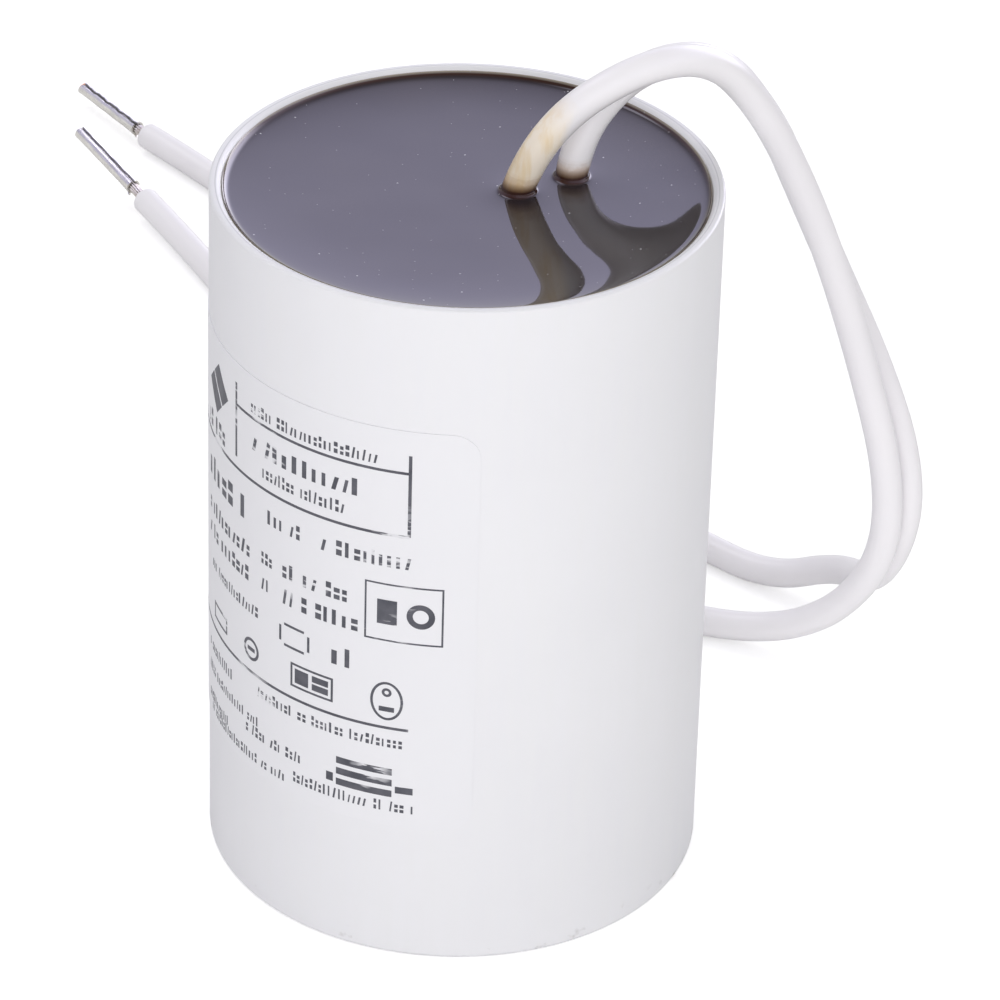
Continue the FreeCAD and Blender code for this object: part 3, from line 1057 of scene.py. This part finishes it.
def makeSleeve(name, values, material):
    # A sheet rolled to a C whose edges meet in a wavy seam at the top.
    bm = bmesh.new()
    dice = random.Random(values["seed"] + 1)
    phase = dice.uniform(0.0, math.tau)
    seamShadeLayer = bm.verts.layers.float.new("seam")
    roundLayer = bm.verts.layers.float.new("round")
    runLayer = bm.verts.layers.float.new("run")
    bmesh.ops.create_grid(bm, x_segments=90, y_segments=56, size=0.5)
    middle = sleeve["radius"] - sleeve["wall"] / 2
    for vert in bm.verts:
        run = vert.co.x + 0.5
        across = vert.co.y * 2
        x = run * sleeve["length"] * (1.0 - values["cutBack"] * abs(across) ** 3)
        wave = 0.65 * math.sin(math.tau * x / sleeve["wavePitch"] + phase)
        wave += 0.45 * math.sin(math.tau * x / sleeve["fineWavePitch"] + 2.3 * phase)
        wave *= values["seamWave"]
        mouth = max(0.0, 1.0 - (sleeve["length"] - x) / sleeve["mouthDrop"])
        half = math.radians(values["seamGap"] / 2 * (1.4 - 0.9 * run + 0.3 * mouth))
        side = 1.0 if across > 0 else -1.0
        half += side * wave / middle * abs(across) ** 3
        half += 0.25 * wave / middle
        angle = across * (math.pi - half)
        ends = math.exp(-x / sleeve["flareReach"])
        ends += math.exp(-(sleeve["length"] - x) / sleeve["flareReach"])
        beat = math.tau * (x - sleeve["squeezeStart"]) / sleeve["squeezePitch"]
        pinch = sleeve["squeeze"] * (0.5 - 0.5 * math.cos(beat))
        reach = sleeve["radius"] + sleeve["flare"] * ends - pinch * (0.4 + 0.6 * abs(across))
        turnedIn = max(0.0, (abs(across) - sleeve["curlFrom"]) / (1.0 - sleeve["curlFrom"]))
        reach -= sleeve["curl"] * turnedIn**2
        # How far each edge curls in, which the finish turns into painted shade along the seam.
        vert[seamShadeLayer] = turnedIn
        vert[roundLayer] = across
        vert[runLayer] = run
        vert.co = (x, -reach * math.sin(angle), -reach * math.cos(angle))
    bmesh.ops.recalc_face_normals(bm, faces=bm.faces[:])
    outward = sum(face.normal.dot(Vector((0, *face.calc_center_median().yz))) for face in bm.faces)
    if outward < 0:
        bmesh.ops.reverse_faces(bm, faces=bm.faces[:])
    bmesh.ops.solidify(bm, geom=bm.faces[:], thickness=sleeve["wall"])
    # The torn spur under the inner end.
    spur = bmesh.ops.create_cube(bm, size=1.0)["verts"]
    size = Matrix.Diagonal((*sleeve["burrSize"], 1.0))
    lean = Matrix.Rotation(math.radians(sleeve["burrLean"]), 4, "Y")
    where = Matrix.Translation((sleeve["burrAt"], 0, -sleeve["radius"] - 0.00001))
    roll = Matrix.Rotation(math.radians(sleeve["burrTurn"]), 4, "X")
    bmesh.ops.transform(bm, matrix=roll @ where @ lean @ size, verts=spur)
    bmesh.ops.recalc_face_normals(bm, faces=bm.faces[:])
    shift = Matrix.Translation((values["bare"], 0, 0))
    whole = endPlacement(values, values["seam"]) @ shift
    bmesh.ops.transform(bm, matrix=whole, verts=bm.verts[:])
    piece = finishPiece(bm, name, [material], sharp=45)
    return piece


wire = tinnedWire()
copper = cutCopper()
plating = platedSleeve()
coreRun = makeCoreRun(plainInsulation)
for side, cord, values, leaving in (
    ("front", frontCord, frontLead, leadExits[0]),
    ("rear", rearCord, rearLead, leadExits[1]),
):
    cap = makeInsulationEnd(side + "InsulationEnd", values, plainInsulation)
    bundle = makeStrands(side + "Bundle", values, [wire, copper])
    barrel = makeSleeve(side + "Barrel", values, plating)
    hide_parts(side + "_lead_strands")
    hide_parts(side + "_crimp_sleeve")
    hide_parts(side + "_lead")
print("leads dressed")


# The pieces sealed inside keep their solids, with finishes of their own.
def ringedFilm():
    material = newMaterial("woundFilm", {"Metallic": 0.6, "Roughness": 0.3})
    rings = addNode(
        material,
        "ShaderNodeTexWave",
        {"Vector": place(material), "Scale": 2500.0, "Distortion": 0.6},
        wave_type="RINGS",
        rings_direction="Z",
    )
    turns = rings.outputs["Fac"]
    setColour(material, mixColour(material, turns, (0.60, 0.61, 0.64), (0.46, 0.47, 0.50)))
    addBump(material, turns, 0.00002, 0.3)
    return material


# Finishes with a plain grain: first and second colour, scale, metal, roughness, depth.
grainyFinishes = {
    "sprayedZinc": ((0.52, 0.53, 0.55), (0.33, 0.34, 0.36), 1500, 0.7, 0.6, 0.00006),
    "dullSolder": ((0.62, 0.62, 0.62), (0.48, 0.48, 0.47), 600, 1.0, 0.35, 0.00002),
    "corePlastic": ((0.62, 0.62, 0.60), (0.56, 0.56, 0.54), 300, 0.0, 0.45, 0.00001),
    "wrapFilm": ((0.70, 0.67, 0.54), (0.64, 0.60, 0.46), 200, 0.0, 0.25, 0.00001),
}


def grainyFinish(name, first, second, scale, metallic, roughness, depth):
    material = newMaterial(name, {"Metallic": metallic, "Roughness": roughness})
    grain = noiseMask(material, place(material), scale, 0.3, 0.7)
    setColour(material, mixColour(material, grain, first, second))
    setRoughness(material, grain, roughness * 0.85, min(1.0, roughness * 1.15))
    addBump(material, grain, depth, 0.4)
    return material


grainy = {name: grainyFinish(name, *values) for name, values in grainyFinishes.items()}
for name, finish in (
    ("wound_film", ringedFilm()),
    ("winding_core", grainy["corePlastic"]),
    ("film_wrap", grainy["wrapFilm"]),
    ("bottom_contact_layer", grainy["sprayedZinc"]),
    ("top_contact_layer", grainy["sprayedZinc"]),
    ("bottom_solder_joint", grainy["dullSolder"]),
    ("top_solder_joint", grainy["dullSolder"]),
    ("front_lead_inner_strands", wire),
    ("rear_lead_inner_strands", wire),
):
    dressNode(name, finish)
print("inner pieces finished")

# A white floor that keeps the shadow, and plain soft light.
studio = {
    "floorSize": 3.0,
    "floorPaint": (0.85, 0.85, 0.85),
    "floorGlow": 0.42,
    "sky": (0.87, 0.85, 1.17),
    "diffuse": 0.64,
    "diffuseAcross": 0.13,
    "diffuseUp": -0.06,
    "zenith": 0.12,
    "front": 0.45,
    "leftDim": 0.68,
    "rightBright": 1.90,
    "patch": 4.0,
    "patchAt": (0.62, 0.76, 0.20),
    "patchInner": 0.25,
    "patchOuter": 0.55,
    "glint": 3.0,
    "glintAt": (-0.43, 0.34, 0.84),
    "glintInner": 0.10,
    "glintOuter": 0.32,
    "lamps": {
        "keyLamp": ((-0.05, -0.9, 0.45), 0.8, (0.8, 0.6), 2.3),
        "lowLamp": ((-0.05, -1.0, 0.04), 0.8, (0.9, 0.3), 1.4),
        "backLamp": ((-0.30, 0.6, 0.80), 0.8, (0.6, 0.4), 1.6),
    },
}


def makeFloor(values):
    # White to the camera through its glow, and dull paint that keeps the shadow.
    material = bpy.data.materials.new("floorWhite")
    material.use_nodes = True
    material.node_tree.nodes.clear()
    seen = addNode(material, "ShaderNodeLightPath").outputs["Is Camera Ray"]
    strength = combine(material, seen, values["floorGlow"], "MULTIPLY", clamp=False)
    glow = addNode(material, "ShaderNodeEmission", {"Strength": strength})
    paint = addNode(material, "ShaderNodeBsdfDiffuse", {"Color": values["floorPaint"]})
    inputs = {0: paint.outputs["BSDF"], 1: glow.outputs["Emission"]}
    both = addNode(material, "ShaderNodeAddShader", inputs)
    addNode(material, "ShaderNodeOutputMaterial", {"Surface": both.outputs["Shader"]})
    bm = bmesh.new()
    bmesh.ops.create_grid(bm, x_segments=2, y_segments=2, size=values["floorSize"] / 2)
    meshObject(bm, "floor", [material])


def makeWorld(values):
    world = bpy.data.worlds.new("studioWorld")
    bpy.context.scene.world = world
    world.use_nodes = True
    world.node_tree.nodes.clear()

    def maths(how, first, second):
        return combine(world, first, second, how, clamp=False)

    def fade(source, low, high, toLow, toHigh):
        return ranged(world, source, low, high, toLow, toHigh, "SMOOTHSTEP")

    def blob(at, inner, outer, strength):
        away = awayFrom(world, values[at], "Generated")
        return fade(away, values[inner], values[outer], values[strength], 0.0)

    def background(colour, strength):
        inputs = {"Color": colour, "Strength": strength}
        return addNode(world, "ShaderNodeBackground", inputs).outputs["Background"]

    def mixed(share, first, second):
        inputs = {0: share, 1: first, 2: second}
        return addNode(world, "ShaderNodeMixShader", inputs).outputs["Shader"]

    # What mirrors see: white low down, a cool sky that is dimmer to the left,
    # overhead and in front.
    x, y, z = (along(world, axis, "Generated") for axis in "XYZ")
    overhead = fade(z, 0.45, 0.98, 1.0, values["zenith"])
    front = fade(y, -0.75, 0.15, values["front"], 1.0)
    slant = fade(x, -0.45, 0.05, values["leftDim"], values["rightBright"])
    high = fade(z, -0.05, 0.20, 0.0, 1.0)
    level = maths("ADD", maths("MULTIPLY", maths("SUBTRACT", slant, 1.0), high), 1.0)
    height = fade(z, 0.05, 0.40, 0.0, 1.0)
    sky = mixColour(world, height, (0.98, 0.97, 1.0), values["sky"])
    around = background(sky, maths("MULTIPLY", maths("MULTIPLY", overhead, front), level))
    # Two soft lights as well: a broad one behind, a small one overhead.
    patch = blob("patchAt", "patchInner", "patchOuter", "patch")
    glint = blob("glintAt", "glintInner", "glintOuter", "glint")
    lights = background((0.95, 0.92, 1.12), maths("ADD", patch, glint))
    # What lights the dull surfaces: a little more from the right and from low down.
    across = maths("MULTIPLY", x, values["diffuseAcross"])
    up = maths("MULTIPLY", z, values["diffuseUp"])
    lighting = maths("ADD", maths("ADD", across, up), values["diffuse"])
    leftward = fade(x, -1.0, 0.1, 1.0, 0.0)
    shade = mixColour(world, leftward, (0.99, 0.985, 1.0), (0.93, 0.92, 1.0))
    soft = background(shade, lighting)
    # What the camera sees: plain white.
    white = background((1.0, 1.0, 1.0), 1.0)
    path = addNode(world, "ShaderNodeLightPath").outputs
    glossy = maths("MAXIMUM", path["Is Glossy Ray"], path["Is Transmission Ray"])
    mirrored = addNode(world, "ShaderNodeAddShader", {0: around, 1: lights}).outputs["Shader"]
    light = mixed(glossy, soft, mirrored)
    surface = mixed(path["Is Camera Ray"], light, white)
    addNode(world, "ShaderNodeOutputWorld", {"Surface": surface})


def addLamp(name, direction, distance, size, watts):
    # Lights the dull surfaces only: mirrors see the studio instead.
    data = bpy.data.lights.new(name, "AREA")
    data.shape = "RECTANGLE"
    data.size, data.size_y = size
    data.energy = watts
    data.color = (1.0, 0.99, 1.0)
    lamp = addObject(name, data)
    aim = Vector((0, 0, canHeight * 0.6))
    away = Vector(direction).normalized()
    turn = away.to_track_quat("Z", "Y").to_matrix().to_4x4()
    lamp.matrix_world = Matrix.Translation(aim + away * distance) @ turn
    lamp.visible_camera = False
    lamp.visible_glossy = False


makeFloor(studio)
makeWorld(studio)
for name, values in studio["lamps"].items():
    addLamp(name, *values)
bpy.context.scene.view_settings.view_transform = "Standard"
print("studio set")

bpy.context.view_layer.update()
